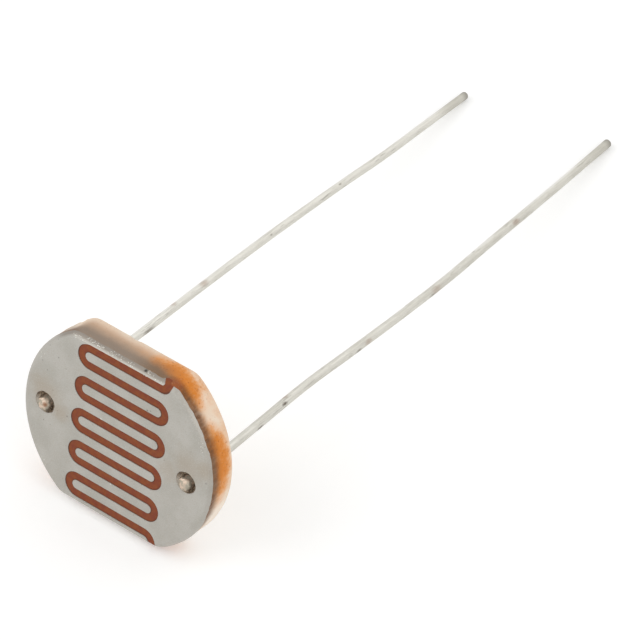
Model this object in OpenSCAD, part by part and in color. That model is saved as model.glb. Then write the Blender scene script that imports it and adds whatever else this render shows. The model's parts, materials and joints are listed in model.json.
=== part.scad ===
// Photoresistor cell: a ceramic disc with a serpentine photoconductive track and two wire leads.
// It lies on the lower back edge of its disc and on the tips of its leads.

/* [Disc] */
// Diameter over the two round sides
disc_d = 12; // [11:0.1:16]
// Distance across the two flats
flat_width = 10.16; // [9.9:0.02:10.8]
// Thickness of the ceramic
disc_t = 1.97; // [1.2:0.01:3]
// Plan radius of the corners between the flats and the round sides
corner_r = 0.95; // [0.5:0.05:2]
// Rounding of the front and back edges
edge_r = 0.35; // [0.2:0.05:0.5]
// Angle by which the disc leans back as it lies, in degrees
lean = 12.3; // [9:0.1:16]

/* [Films] */
// Thickness of the photoconductive layer
layer_t = 0.04; // [0.02:0.01:0.08]
// Thickness of the electrode film
electrode_t = 0.03; // [0.02:0.01:0.06]
// How far both films reach round the front edge, below the ceramic's front face
film_wrap = 0.12; // [0.04:0.02:0.6]

/* [Track] */
// Distance between the centres of neighbouring lines
track_pitch = 1.005; // [0.8:0.005:1.5]
// Width of the exposed track
track_width = 0.44; // [0.3:0.02:0.5]
// Least distance from the flats to the first and last lines of a centred serpentine
track_margin = 0.2; // [0.2:0.05:1]
// Width of the whole serpentine over its loops
track_span = 5.9; // [4:0.1:6.4]
// Sideways offset of the serpentine from the disc's centre
track_shift_x = 0.09; // [-0.2:0.01:0.2]
// Upward offset of the serpentine from the disc's centre
track_shift_y = 0.13; // [-0.2:0.01:0.2]

/* [Leads] */
// Distance between the lead holes
lead_pitch = 9.08; // [8.4:0.02:9.6]
// Diameter of the lead holes
hole_d = 1.2; // [0.9:0.05:1.4]
// Diameter of the lead wire
wire_d = 0.5; // [0.4:0.01:0.52]
// Diameter of the upset head at the front of a lead
head_d = 0.78; // [0.65:0.01:0.85]
// Height of the head's domed top above the ceramic's front face
head_rise = 0.27; // [0.15:0.01:0.4]
// Height of the head's domed top alone
head_dome_h = 0.24; // [0.1:0.01:0.3]
// Diameter of the tapered neck where it leaves a head
neck_d = 0.6; // [0.56:0.01:0.64]
// Step down from the neck's thin end to the wire, in diameter
neck_step = 0.02; // [0.01:0.01:0.04]
// Length of the neck that shows behind the disc
neck_show = 0.2; // [0.15:0.05:0.5]
// Length of the left lead's wire, from the seat of its head
left_lead_l = 34.7; // [28:0.1:40]
// Length of the right lead's wire, from the seat of its head
right_lead_l = 36.25; // [28:0.05:40]
// Angle by which each lead turns inward, in degrees
toe_in = 0.3; // [0:0.05:1]

/* [Bonds] */
// Depth of the head's seat below the ceramic's front face
seat_depth = 0.35; // [0.2:0.05:0.6]
// Depth below the ceramic's front face at which the bond's slope meets the wall of the hole
bond_rim_depth = 0.12; // [0.05:0.01:0.2]
// Thickness of the bond's skin that is drawn up the wall of the hole to the electrode
bond_skin = 0.05; // [0.03:0.01:0.08]

/* [Hidden] */

$fn = 48;
side_steps = 22;
corner_steps = 5;
edge_steps = 5;
loop_steps = 14;
dome_steps = 6;

ceramic_colour = [0.90, 0.80, 0.66];
layer_colour = [0.55, 0.27, 0.18];
electrode_colour = [0.70, 0.69, 0.65];
lead_colour = [0.80, 0.80, 0.77];
bond_colour = [0.36, 0.30, 0.24];

disc_r = disc_d / 2;
flat_y = flat_width / 2;
wire_r = wire_d / 2;
head_r = head_d / 2;
hole_r = hole_d / 2;
film_t = layer_t + electrode_t;

// Centre of a plan corner's arc, and the angle where that arc leaves the round side
corner_y = flat_y - corner_r;
corner_x = sqrt((disc_r - corner_r) ^ 2 - corner_y ^ 2);
corner_angle = atan2(corner_y, corner_x);

// The serpentine: an even number of lines, loop radius, centre line ends and first line
line_room = flat_width - 2 * track_margin - track_width;
track_lines = 2 * floor((line_room / track_pitch + 1) / 2);
loop_r = track_pitch / 2;
track_left = track_shift_x - (track_span - track_width) / 2;
track_right = track_shift_x + (track_span - track_width) / 2;
first_line = track_shift_y + (track_lines - 1) * track_pitch / 2;
beyond = disc_d;

// Height of the disc's centre above the table when its lower back edge touches it
rest_height = (flat_y - edge_r) * cos(lean) + (disc_t - edge_r) * sin(lean) + edge_r;
// The seat of a lead's head: distance behind the disc's centre, and height above the table
seat_back = seat_depth * cos(lean);
seat_height = rest_height - seat_depth * sin(lean);
// Length of wire inside its own head
head_root = seat_depth / 2;
// The film's lower front edge and the longer lead's tip bound the part along Y
front_reach = (flat_y - edge_r) * sin(lean) + film_t * cos(lean);
back_reach = max([for (l = [left_lead_l, right_lead_l]) tip_reach(l)]);
centre_back = (front_reach - back_reach) / 2;

// Angle below the horizontal at which a lead of this length reaches the table
function descent(l) = asin(seat_height / norm([l, wire_r])) - atan2(wire_r, l);

// Distance from the disc's centre back to the end of a lead of this length
function tip_reach(l) =
    seat_back + l * cos(toe_in) * cos(descent(l)) + wire_r * sin(descent(l));

// Direction of the right lead: outward, up along the disc, and out of its back
function lead_direction(l) =
    let (d = descent(l))
    [
        -sin(toe_in) * cos(d),
        cos(toe_in) * cos(d) * sin(lean) - sin(d) * cos(lean),
        cos(toe_in) * cos(d) * cos(lean) + sin(d) * sin(lean)
    ];

// Points on an arc from one angle to another, without its first and last "trim" points
function arc(centre, r, from, to, steps, trim = 0) = [
    for (i = [trim : steps - trim])
        let (a = from + (to - from) * i / steps)
        centre + r * [cos(a), sin(a)]
];

// Outline of the disc, moved inward by "inset", counter-clockwise
function outline(inset) = let (r = disc_r - inset, c = corner_r - inset, a = corner_angle) concat(
    arc([0, 0], r, -a, a, side_steps, 1),
    arc([corner_x, corner_y], c, a, 90, corner_steps),
    arc([-corner_x, corner_y], c, 90, 180 - a, corner_steps),
    arc([0, 0], r, 180 - a, 180 + a, side_steps, 1),
    arc([-corner_x, -corner_y], c, 180 + a, 270, corner_steps),
    arc([corner_x, -corner_y], c, 270, 360 - a, corner_steps)
);

// Inset and height of each level of the disc, from its back to its front, when it is "grow" larger
function levels(grow) = let (r = edge_r + grow) concat(
    [for (i = [0 : edge_steps]) let (a = 90 * i / edge_steps)
        [edge_r - r * sin(a), edge_r - disc_t - r * cos(a)]],
    [for (i = [edge_steps : -1 : 0]) let (a = 90 * i / edge_steps)
        [edge_r - r * sin(a), r * cos(a) - edge_r]]
);

// One edge of the track, "offset" to the left of its centre line
function track_edge(offset) = concat(
    [[track_right - offset, beyond]],
    arc([track_right - loop_r, first_line + loop_r], loop_r - offset, 0, -90, loop_steps),
    [for (k = [0 : track_lines - 2])
        let (y = first_line - k * track_pitch - loop_r)
        each k % 2 == 0
            ? arc([track_left + loop_r, y], loop_r + offset, 90, 270, loop_steps)
            : arc([track_right - loop_r, y], loop_r - offset, 90, -90, loop_steps)],
    arc([track_right - loop_r, first_line - (track_lines - 1) * track_pitch - loop_r],
        loop_r - offset, 90, 0, loop_steps),
    [[track_right - offset, -beyond]]
);

// Stands a shape built on the disc's axis, front face at zero, as the part lies on the table
module lying() {
    translate([0, centre_back, rest_height]) rotate([90 - lean, 0, 0]) children();
}

// The disc's solid, "grow" larger all round
module blank(grow) {
    ring = len(outline(0));
    rows = levels(grow);
    points = [for (level = rows) for (p = outline(level[0])) [p[0], p[1], level[1]]];
    sides = [
        for (j = [0 : len(rows) - 2]) for (i = [0 : ring - 1])
            let (n = (i + 1) % ring)
            [j * ring + i, (j + 1) * ring + i, (j + 1) * ring + n, j * ring + n]
    ];
    back = [for (i = [0 : ring - 1]) i];
    front = [for (i = [ring - 1 : -1 : 0]) (len(rows) - 1) * ring + i];
    polyhedron(points, concat([back], sides, [front]));
}

module lead_hole(side) {
    translate([side * lead_pitch / 2, 0, -disc_t - 1]) cylinder(d = hole_d, h = disc_t + 2);
}

// The skin of one film between two distances from the ceramic, round the front edge
module film(inner, outer) {
    difference() {
        intersection() {
            blank(outer);
            translate([-beyond, -beyond, -film_wrap]) cube([2 * beyond, 2 * beyond, film_wrap + 1]);
        }
        blank(inner);
    }
}

module electrode(side) {
    edge = track_edge(-side * track_width / 2);
    region = concat(edge, [[side * beyond, -beyond], [side * beyond, beyond]]);
    difference() {
        intersection() {
            film(layer_t, film_t);
            translate([0, 0, -film_wrap - 1]) linear_extrude(film_wrap + 2) polygon(region);
        }
        lead_hole(side);
    }
}

// Upset head of a lead on the axis of its hole
module head() {
    dome_base = head_rise - head_dome_h;
    dome = [
        for (i = [0 : dome_steps])
            let (a = 90 * i / dome_steps)
            [head_r * sin(a), dome_base + head_dome_h * cos(a)]
    ];
    rotate_extrude() polygon(concat(dome, [[head_r, -seat_depth], [0, -seat_depth]]));
}

// Turns a shape that stands on the seat of a right lead's head into line with its wire
module along_lead(l) {
    direction = lead_direction(l);
    roll = atan2(direction[1], direction[0]);
    translate([0, 0, -seat_depth]) rotate([180, 0, roll]) rotate([0, acos(direction[2]), 0]) children();
}

// Tapered root of a right lead, from inside its head to just behind the disc
module neck(l) {
    through = (disc_t - seat_depth) / lead_direction(l)[2];
    along_lead(l) translate([0, 0, -head_root])
        cylinder(d1 = neck_d, d2 = wire_d + neck_step, h = head_root + through + neck_show);
}

// Straight wire of a right lead, to its tip on the table
module wire(l) {
    along_lead(l) cylinder(d = wire_d, h = l);
}

// Puts what is built on the right hole's axis at the hole on this side
module at_hole(side) {
    lying() mirror([side < 0 ? 1 : 0, 0, 0]) translate([lead_pitch / 2, 0, 0]) children();
}

module lead(side, l) {
    at_hole(side) {
        head();
        neck(l);
        wire(l);
    }
}

// Paste round the neck, level with the back, that climbs the wall of the hole to the electrode
module lead_bond(side, l) {
    at_hole(side) difference() {
        rotate_extrude() polygon([
            [0, -disc_t],
            [hole_r, -disc_t],
            [hole_r, film_t],
            [hole_r - bond_skin, film_t],
            [hole_r - bond_skin, -bond_rim_depth],
            [head_r, -seat_depth],
            [0, -seat_depth]
        ]);
        neck(l);
    }
}

module ceramic_disc() {
    color(ceramic_colour) lying() difference() {
        blank(0);
        lead_hole(-1);
        lead_hole(1);
    }
}

module photoconductive_layer() {
    color(layer_colour) lying() difference() {
        film(0, layer_t);
        lead_hole(-1);
        lead_hole(1);
    }
}

module left_electrode() {
    color(electrode_colour) lying() electrode(-1);
}

module right_electrode() {
    color(electrode_colour) lying() electrode(1);
}

module left_lead() {
    color(lead_colour) lead(-1, left_lead_l);
}

module right_lead() {
    color(lead_colour) lead(1, right_lead_l);
}

module left_lead_bond() {
    color(bond_colour) lead_bond(-1, left_lead_l);
}

module right_lead_bond() {
    color(bond_colour) lead_bond(1, right_lead_l);
}

ceramic_disc();
photoconductive_layer();
left_electrode();
right_electrode();
left_lead();
right_lead();
left_lead_bond();
right_lead_bond();
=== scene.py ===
"""Looks of a photoresistor: its disc, films, leads and paste, with light and camera."""

import json
import math

import bmesh
import bpy
import numpy as np
from mathutils import Matrix, Quaternion, Vector, noise
from mathutils.geometry import delaunay_2d_cdt


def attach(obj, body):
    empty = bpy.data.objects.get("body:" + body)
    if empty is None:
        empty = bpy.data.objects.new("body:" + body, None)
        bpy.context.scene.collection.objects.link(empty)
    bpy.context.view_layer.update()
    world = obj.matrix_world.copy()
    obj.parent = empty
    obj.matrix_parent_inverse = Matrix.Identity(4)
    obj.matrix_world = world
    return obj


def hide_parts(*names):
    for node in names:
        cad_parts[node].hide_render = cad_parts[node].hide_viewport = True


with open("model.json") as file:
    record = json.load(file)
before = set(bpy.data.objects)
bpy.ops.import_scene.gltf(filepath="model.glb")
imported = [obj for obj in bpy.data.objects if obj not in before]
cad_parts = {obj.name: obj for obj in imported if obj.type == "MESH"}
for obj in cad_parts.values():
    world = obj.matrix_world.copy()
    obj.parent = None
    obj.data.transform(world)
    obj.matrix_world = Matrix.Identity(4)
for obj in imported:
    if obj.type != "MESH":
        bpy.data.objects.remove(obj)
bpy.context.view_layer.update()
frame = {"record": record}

MM = 0.001
TINY = 1e-9

# Disc, in millimetres as in the part's source
DISC_R = 6.0
FLAT_Y = 5.08
DISC_T = 1.97
CORNER_R = 0.95
EDGE_R = 0.35
CORNER_Y = FLAT_Y - CORNER_R
CORNER_X = math.sqrt((DISC_R - CORNER_R) ** 2 - CORNER_Y ** 2)
CORNER_ANGLE = math.degrees(math.atan2(CORNER_Y, CORNER_X))

# Films and the serpentine track between the electrodes
LAYER_T = 0.04
FILM_T = 0.07
TRACK_PITCH = 1.005
TRACK_W = 0.44
# Wider than the track, as the films stand above it and hide part of it
GAP_W = 0.485
TRACK_SPAN = 5.9
TRACK_SHIFT_X = 0.09
TRACK_SHIFT_Y = 0.13
TRACK_LINES = 10
LOOP_R = TRACK_PITCH / 2
STUB_R = 0.32
STUB_LEAN = 30
TRACK_LEFT = TRACK_SHIFT_X - (TRACK_SPAN - TRACK_W) / 2
TRACK_RIGHT = TRACK_SHIFT_X + (TRACK_SPAN - TRACK_W) / 2
FIRST_LINE = TRACK_SHIFT_Y + (TRACK_LINES - 1) * TRACK_PITCH / 2
# The drawn loops lie a little to the right, those at the upper left the most
RIGHT_SHIFT = 0.035
LEFT_SHIFTS = (0.035, 0.11)
SHIFT_Y = (0.3, 3.8)
# The upper edge of the first line is drawn this much lower
TOP_TRIM = 0.05
BEYOND = 2 * DISC_R

# Leads and bonds, with the side of each hole that its paste fills up
LOW_SIDE = (-0.75, -0.66)
HOLE_X = 4.54
HOLE_R = 0.6
HEAD_R = 0.39
HEAD_RISE = 0.27
HEAD_DOME_H = 0.24
HEAD_ASIDE = np.array([-0.05, -0.11])
SEAT_DEPTH = 0.35
NECK_R = 0.3
NECK_END_R = 0.26
NECK_SHOW = 0.2
BOND_SKIN = 0.05
BOND_RIM_DEPTH = 0.12

# Each lead: sideways bow at even stations, shares of its radius left and of its skin dulled, strength
# of its painted highlight near the disc and near the tip, and on its own axes the head's patches
# (brown, and grey painted shade) and the wire's marks: place, radius and strength
LEADS = {
    "left": {
        "bow": (0.0, 0.06, 0.0, -0.075, -0.12, -0.11, -0.06, 0.05, 0.03, 0.02),
        "share": 0.92,
        "tarnish": 0.45,
        "painted_highlight": (0.65, 0.6),
        "brown": ((0.13, -0.02, -0.56, 0.2, 0.85),),
        "grey": ((0.25, 0.22, -0.5, 0.26, 0.9),),
        "flux": ((-0.07, -0.2, 9.7, 0.2, 0.35), (0.0, -0.2, 12.1, 0.28, 0.35)),
        "flecks": ((0.3, 0.0, 7.4, 0.26, 0.6),),
        "seed": 1,
    },
    "right": {
        "bow": (0.0, -0.065, -0.115, 0.025, 0.14, 0.18, 0.07, 0.0, -0.1, -0.22),
        "share": 0.98,
        "tarnish": 0.75,
        "painted_highlight": (0.2, 0.75),
        "brown": ((-0.32, 0.05, -0.44, 0.2, 0.75),),
        "grey": ((0.26, 0.1, -0.52, 0.36, 0.95),),
        "flux": (
            (-0.2, -0.18, 7.75, 0.2, 0.4), (0.3, -0.1, 14.1, 0.24, 0.35),
            (0.4, -0.1, 19.8, 0.34, 0.3), (0.22, -0.18, 27.1, 0.26, 0.4),
        ),
        "flecks": (
            (0.2, 0.04, 5.3, 0.15, 0.9), (0.1, -0.17, 7.4, 0.13, 0.9),
            (0.27, 0.02, 13.3, 0.15, 0.7), (0.46, 0.02, 19.4, 0.16, 0.5),
        ),
        "seed": 4,
    },
}

# Fineness of the meshes
SIDE_STEPS = 120
FLAT_STEPS = 60
CORNER_STEPS = 10
EDGE_STEPS = 9
WALL_STEPS = 14
LOOP_STEPS = 20
HOLE_STEPS = 48
BORE_STEPS = 4
SHANK_STEPS = 5
NECK_RINGS = 7
WIRE_RINGS = 240
RING_STEPS = 32
CUT_TOLERANCE = 1e-6
WELD_DIGITS = 5
SHARP_ANGLE = 40
# Inset of a ring that keeps a flat shaded as flat up to its border
FLAT_GUARD = 0.06

# The disc's own axes and its front centre, from the mount on its back
MOUNTS = {mount["name"]: mount for mount in frame["record"]["mounts"]}
NORMAL = -np.array(MOUNTS["back_seat"]["axis"])
ACROSS = np.array([1.0, 0.0, 0.0])
BASIS = np.column_stack([ACROSS, np.cross(NORMAL, ACROSS), NORMAL])
ORIGIN = np.array(MOUNTS["back_seat"]["pos_m"]) + NORMAL * DISC_T * MM


def to_row(points):
    """Points on the disc's axes in millimetres, as points of the row frame in metres."""
    return ORIGIN + np.asarray(points) @ BASIS.T * MM


def smooth(value, start, end):
    """A soft step from 0 at start to 1 at end."""
    share = np.clip((value - start) / (end - start), 0, 1)
    return share * share * (3 - 2 * share)


def lumps(points, size, seed=0.0):
    """Smooth noise from -1 to 1 at points, with lumps of about this size."""
    shift = Vector((seed, 2 * seed, 3 * seed))
    return np.array([noise.noise(Vector(point) + shift) for point in np.asarray(points) / size])


def dents(points, size, seed=0.0):
    """The same noise from 0 to 1."""
    return (1 + lumps(points, size, seed)) / 2


def flat_points(plan, height):
    """Plan points at one height."""
    return np.column_stack([plan, np.full(len(plan), height)])


# Plan outlines

def arc(centre, radius, start, end, steps, last=0):
    """Points on an arc in degrees, with its end if last is 1, and their directions from its centre."""
    turn = np.radians(start + (end - start) * np.arange(steps + last) / steps)
    way = np.column_stack([np.cos(turn), np.sin(turn)])
    return np.asarray(centre) + radius * way, way


def flat_side(side):
    """Points along one flat, and its outward direction at each."""
    x = side * CORNER_X * (1 - 2 * np.arange(FLAT_STEPS) / FLAT_STEPS)
    points = np.column_stack([x, np.full(FLAT_STEPS, side * FLAT_Y)])
    return points, np.tile([0.0, side], (FLAT_STEPS, 1))


def rim():
    """Points round the disc, counter-clockwise, and the outward direction at each."""
    turn = CORNER_ANGLE
    stretches = []
    for side, half in ((1, 0), (-1, 180)):
        x, y = side * CORNER_X, side * CORNER_Y
        stretches += [
            arc((0, 0), DISC_R, half - turn, half + turn, SIDE_STEPS),
            arc((x, y), CORNER_R, half + turn, half + 90, CORNER_STEPS),
            flat_side(side),
            arc((-x, y), CORNER_R, half + 90, half + 180 - turn, CORNER_STEPS),
        ]
    return [np.concatenate(group) for group in zip(*stretches)]


def hole_ring(side):
    """The outline of one lead hole."""
    return arc((side * HOLE_X, 0), HOLE_R, 0, 360, HOLE_STEPS)[0]


def left_shift(y):
    """How far to the right a left loop is drawn."""
    low, high = LEFT_SHIFTS
    return low + (high - low) * smooth(y, *SHIFT_Y)


def track_edge(offset):
    """One edge of the track, offset to the left of its centre line, from above to below."""
    right = TRACK_RIGHT - LOOP_R + RIGHT_SHIFT
    last_line = FIRST_LINE - (TRACK_LINES - 1) * TRACK_PITCH
    corner = (TRACK_RIGHT - STUB_R, FIRST_LINE + STUB_R)
    stub, ways = arc(corner, STUB_R - offset, STUB_LEAN, -90, LOOP_STEPS, 1)
    stretches = [stub[:1] + BEYOND * np.array([-ways[0, 1], ways[0, 0]]), stub]
    for line in range(TRACK_LINES - 1):
        y = FIRST_LINE - line * TRACK_PITCH - LOOP_R
        if line % 2 == 0:
            left = TRACK_LEFT + LOOP_R + left_shift(y)
            stretches.append(arc((left, y), LOOP_R + offset, 90, 270, LOOP_STEPS, 1)[0])
        else:
            stretches.append(arc((right, y), LOOP_R - offset, 90, -90, LOOP_STEPS, 1)[0])
    stretches.append(arc((right, last_line - LOOP_R), LOOP_R - offset, 90, 0, LOOP_STEPS, 1)[0])
    stretches.append([[TRACK_RIGHT + RIGHT_SHIFT - offset, -BEYOND]])
    return np.concatenate(stretches)


def electrode_region(side):
    """The plan on one side of the track, counter-clockwise."""
    edge = track_edge(-side * GAP_W / 2)
    x, y = edge.T
    above = smooth(y, FIRST_LINE, FIRST_LINE + GAP_W / 2) * smooth(x, TRACK_RIGHT, TRACK_RIGHT - LOOP_R)
    edge[:, 1] -= TOP_TRIM * above
    return np.concatenate([edge, [[side * BEYOND, -BEYOND], [side * BEYOND, BEYOND]]])[::side]


def cut_plan(loops, lines):
    """Triangles of the plan cut along counter-clockwise loops and lines, and the loops round each."""
    points, edges, faces = [], [], []
    for loop in loops:
        faces.append(list(range(len(points), len(points) + len(loop))))
        points.extend(loop)
    for line in lines:
        edges.extend((len(points) + i, len(points) + i + 1) for i in range(len(line) - 1))
        points.extend(line)
    corners = [Vector(point) for point in points]
    plan, _, triangles, _, _, holders = delaunay_2d_cdt(corners, edges, faces, 0, CUT_TOLERANCE)
    return np.array([tuple(point) for point in plan]), triangles, holders


def closed(ring):
    """A ring as a line that comes back to its start."""
    return np.concatenate([ring, ring[:1]])


# Meshes

def loft(rings):
    """Points of rings in order, and the faces between each ring and the next."""
    count = len(rings[0])
    faces = []
    for start in range(0, (len(rings) - 1) * count, count):
        for i in range(count):
            after = (i + 1) % count
            faces.append((start + i, start + after, start + count + after, start + count + i))
    return np.concatenate(rings), faces


def capped(rings):
    """A loft of rings with its two ends closed."""
    points, faces = loft(rings)
    count = len(rings[0])
    last = len(points) - count
    return points, faces + [list(range(count))[::-1], [last + i for i in range(count)]]


def joined(shapes):
    """Several shapes as one, with points that coincide welded."""
    points = np.concatenate([shape[0] for shape in shapes])
    starts = np.cumsum([0] + [len(shape[0]) for shape in shapes])
    faces = [[start + i for i in face] for start, shape in zip(starts, shapes) for face in shape[1]]
    near = np.round(points, WELD_DIGITS)
    _, first, same = np.unique(near, axis=0, return_index=True, return_inverse=True)
    same = same.ravel()
    return points[first], [[int(same[i]) for i in face] for face in faces]


def add_object(name, data):
    """A new object in the scene."""
    made = bpy.data.objects.new(name, data)
    bpy.context.scene.collection.objects.link(made)
    return made


def make_piece(name, shape, material, node=None):
    """A closed mesh that rides on the part, and stands for a node if one is named."""
    mesh = bpy.data.meshes.new(name)
    mesh.from_pydata(to_row(shape[0]).tolist(), [], shape[1])
    mesh.validate()
    build = bmesh.new()
    build.from_mesh(mesh)
    bmesh.ops.recalc_face_normals(build, faces=build.faces)
    build.to_mesh(mesh)
    build.free()
    mesh.shade_smooth()
    mesh.set_sharp_from_angle(angle=math.radians(SHARP_ANGLE))
    mesh.materials.append(material)
    piece = add_object(name, mesh)
    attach(piece, "root")
    if node:
        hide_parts(node)


# Ceramic disc

GRAIN_DEPTH = 0.012
GRAIN_SIZE = 0.3
WAVE_DEPTH = 0.02
WAVE_SIZE = 1.6
WAVE_SEED = 5
CHIP_SHARE = 0.5
CHIP_RAG = 0.35
CHIP_GRAIN = 0.15
# Depths below the face over which the wear sets in
WEAR_DEPTHS = (EDGE_R - 0.05, EDGE_R + 0.25)
# Chips on the back edge: angle round the disc, and radius
CHIPS = (
    (98, 0.34), (131, 0.55), (137, 0.75), (143, 0.65), (152, 0.5), (171, 0.34), (214, 0.42),
    (243, 0.6), (268, 0.36), (301, 0.52), (322, 0.34),
)


def edge_profile():
    """Inset, height, and the outward and upward parts of the direction out, from back to front."""
    turns = np.radians(90 * np.arange(EDGE_STEPS + 1) / EDGE_STEPS)
    curve = [(EDGE_R * (1 - math.sin(turn)), math.sin(turn), math.cos(turn)) for turn in turns]
    wall = DISC_T - 2 * EDGE_R
    back = [(inset, EDGE_R * (1 - up) - DISC_T, out, -up) for inset, out, up in curve]
    side = [(0.0, EDGE_R - DISC_T + wall * i / WALL_STEPS, 1.0, 0.0) for i in range(1, WALL_STEPS)]
    front = [(inset, EDGE_R * (up - 1), out, up) for inset, out, up in curve[::-1]]
    return back + side + front


def wear(points):
    """How deep the fired surface is worn: grain, waves and chips of the back edge."""
    depth = GRAIN_DEPTH * dents(points, GRAIN_SIZE) + WAVE_DEPTH * dents(points, WAVE_SIZE, WAVE_SEED)
    for angle, radius in CHIPS:
        way = math.radians(angle)
        edge = min(DISC_R, FLAT_Y / abs(math.sin(way)))
        centre = [edge * math.cos(way), edge * math.sin(way), -DISC_T]
        away = np.linalg.norm(points - centre, axis=1)
        ragged = radius * (1 + CHIP_RAG * lumps(points, CHIP_GRAIN, angle))
        depth += CHIP_SHARE * np.clip(ragged - away, 0, None)
    return depth * smooth(-points[:, 2], *WEAR_DEPTHS)


def disc_cap(height):
    """The flat front or back of the disc, with its lead holes."""
    base, outward = rim()
    loops = [base - EDGE_R * outward, hole_ring(-1), hole_ring(1)]
    points, triangles, holders = cut_plan(loops, [closed(base - (EDGE_R + FLAT_GUARD) * outward)])
    kept = [triangle for triangle, inside in zip(triangles, holders) if inside == [0]]
    return flat_points(points, height), kept


def ceramic_shape():
    """The disc: worn side and edges, flat front and back, and the walls of its holes."""
    base, outward = rim()
    rings = []
    for inset, height, out, up in edge_profile():
        ring = flat_points(base - inset * outward, height)
        way = np.column_stack([out * outward, np.full(len(base), up)])
        rings.append(ring - way * (out * wear(ring))[:, None])
    heights = [-DISC_T * (1 - i / BORE_STEPS) for i in range(BORE_STEPS + 1)]
    walls = [loft([flat_points(hole_ring(side), height) for height in heights]) for side in (-1, 1)]
    return joined([loft(rings), disc_cap(0.0), disc_cap(-DISC_T), *walls])


# Films

# Run of the films over the rounded edge, and the rags of their border
FILM_RUN = 0.43
FILM_RAG = 0.025
COARSE_RAG = 0.35
FINE_RAG = 0.13
FINE_RAG_SHARE = 0.6
FINE_RAG_SEED = 3
# Changes of that run, each over a range of y and ranges of x
RUN_CHANGES = (
    (0.2, (4.2, 5.0), ((2.3, 2.5), (2.9, 2.78))),
    (-0.1, (4.2, 5.0), ((2.78, 2.9), (3.5, 3.1))),
    (-0.055, (1.8, 2.4), ((5.6, 5.35), (3.2, 3.8))),
    (0.14, (-1.4, -2.6), ((3.0, 4.0),)),
)
# Shares of the run at which the films have further rings of points
RUN_SHARES = (0.75, 0.5, 0.25)
QUARTER_RUN = EDGE_R * math.pi / 2
# Share of their height that the films lose, and the run over which they lose it
THINNING = 0.85
THIN_RUN = (0.02, 0.4)
# Rags of the films' holes, which set in between two cosines to the low side
HOLE_RAG = 0.05
HOLE_RAG_SIZE = 0.3
HOLE_RAG_MEAN = 0.4
HOLE_RAG_LEAST = 0.05
HOLE_RAG_TURN = (0.7, -0.3)


def to_rim(plan):
    """How far plan points lie outside the disc's outline, and the way out."""
    side = np.abs(plan)
    sign = np.where(plan < 0, -1.0, 1.0)
    from_corner = side - [CORNER_X, CORNER_Y]
    angle = np.degrees(np.arctan2(from_corner[:, 1], from_corner[:, 0]))
    on_flat = (side[:, 0] <= CORNER_X) & (side[:, 1] > CORNER_Y)
    on_corner = ~on_flat & (angle >= CORNER_ANGLE) & (angle <= 90)
    way = np.where(on_corner[:, None], from_corner, side)
    far = np.linalg.norm(way, axis=1)
    distance = far - np.where(on_corner, CORNER_R, DISC_R)
    distance[on_flat] = side[on_flat, 1] - FLAT_Y
    way = way / np.maximum(far, TINY)[:, None]
    way[on_flat] = [0.0, 1.0]
    return distance, way * sign


def on_face(plan, height):
    """Plan points at a height over the ceramic, bent round its front edge, where the films thin out."""
    distance, way = to_rim(plan)
    past = np.maximum(distance + EDGE_R, 0)
    turn = np.minimum(past, QUARTER_RUN) / EDGE_R
    down = np.maximum(past - QUARTER_RUN, 0)
    radius = EDGE_R + height * (1 - THINNING * smooth(past, *THIN_RUN))
    flat = plan + way * (radius * np.sin(turn) - past)[:, None]
    return np.column_stack([flat, radius * np.cos(turn) - EDGE_R - down])


def film_run(base):
    """How far the films run over the rounded edge, at points of the outline."""
    x, y = base.T
    around = flat_points(base, 0.0)
    rag = lumps(around, COARSE_RAG) + FINE_RAG_SHARE * lumps(around, FINE_RAG, FINE_RAG_SEED)
    run = FILM_RUN + FILM_RAG * rag
    for change, y_range, x_ranges in RUN_CHANGES:
        part = change * smooth(y, *y_range)
        for x_range in x_ranges:
            part = part * smooth(x, *x_range)
        run += part
    return run


def ragged_hole(side):
    """The hole of a film round one lead, ragged where no paste fills it up."""
    ring = hole_ring(side)
    out = (ring - [side * HOLE_X, 0]) / HOLE_R
    share = HOLE_RAG_MEAN + lumps(flat_points(ring, 0.0), HOLE_RAG_SIZE, side)
    rag = HOLE_RAG * np.clip(share, HOLE_RAG_LEAST, None) * smooth(out @ LOW_SIDE, *HOLE_RAG_TURN)
    return ring + out * rag[:, None]


def film_plan():
    """The plan of all films: border, electrode sides, lead holes and ragged film holes."""
    base, outward = rim()
    run = film_run(base)
    loops = [base + outward * (run - EDGE_R)[:, None], electrode_region(-1), electrode_region(1)]
    loops += [hole_ring(-1), hole_ring(1), ragged_hole(-1), ragged_hole(1)]
    lines = [closed(base + outward * (run * share - EDGE_R)[:, None]) for share in RUN_SHARES]
    lines += [closed(base - inset * outward) for inset in (EDGE_R, EDGE_R + FLAT_GUARD)]
    return cut_plan(loops, lines)


def skin(plan, triangles, low, high):
    """A closed solid over plan triangles, between two heights above the ceramic."""
    used = sorted({i for triangle in triangles for i in triangle})
    order = {old: new for new, old in enumerate(used)}
    triangles = [[order[i] for i in triangle] for triangle in triangles]
    count = len(used)
    edges = {(triangle[i - 1], triangle[i]) for triangle in triangles for i in range(3)}
    border = [(start, end) for start, end in edges if (end, start) not in edges]
    faces = [[i + count for i in triangle] for triangle in triangles]
    faces += [triangle[::-1] for triangle in triangles]
    faces += [(start, end, end + count, start + count) for start, end in sorted(border)]
    return np.concatenate([on_face(plan[used], low), on_face(plan[used], high)]), faces


def film_shapes():
    """The layer, the left electrode and the right electrode."""
    plan, triangles, holders = film_plan()
    border, left, right, left_hole, right_hole, left_ragged, right_ragged = range(7)

    def pick(inside, outside):
        return [
            triangle for triangle, held in zip(triangles, holders)
            if set(inside) <= set(held) and not set(outside) & set(held)
        ]

    layer = skin(plan, pick([border], [left_hole, right_hole]), 0.0, LAYER_T)
    west = skin(plan, pick([border, left], [left_ragged]), LAYER_T, FILM_T)
    east = skin(plan, pick([border, right], [right_ragged]), LAYER_T, FILM_T)
    return layer, west, east


# Flakes of film

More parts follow.
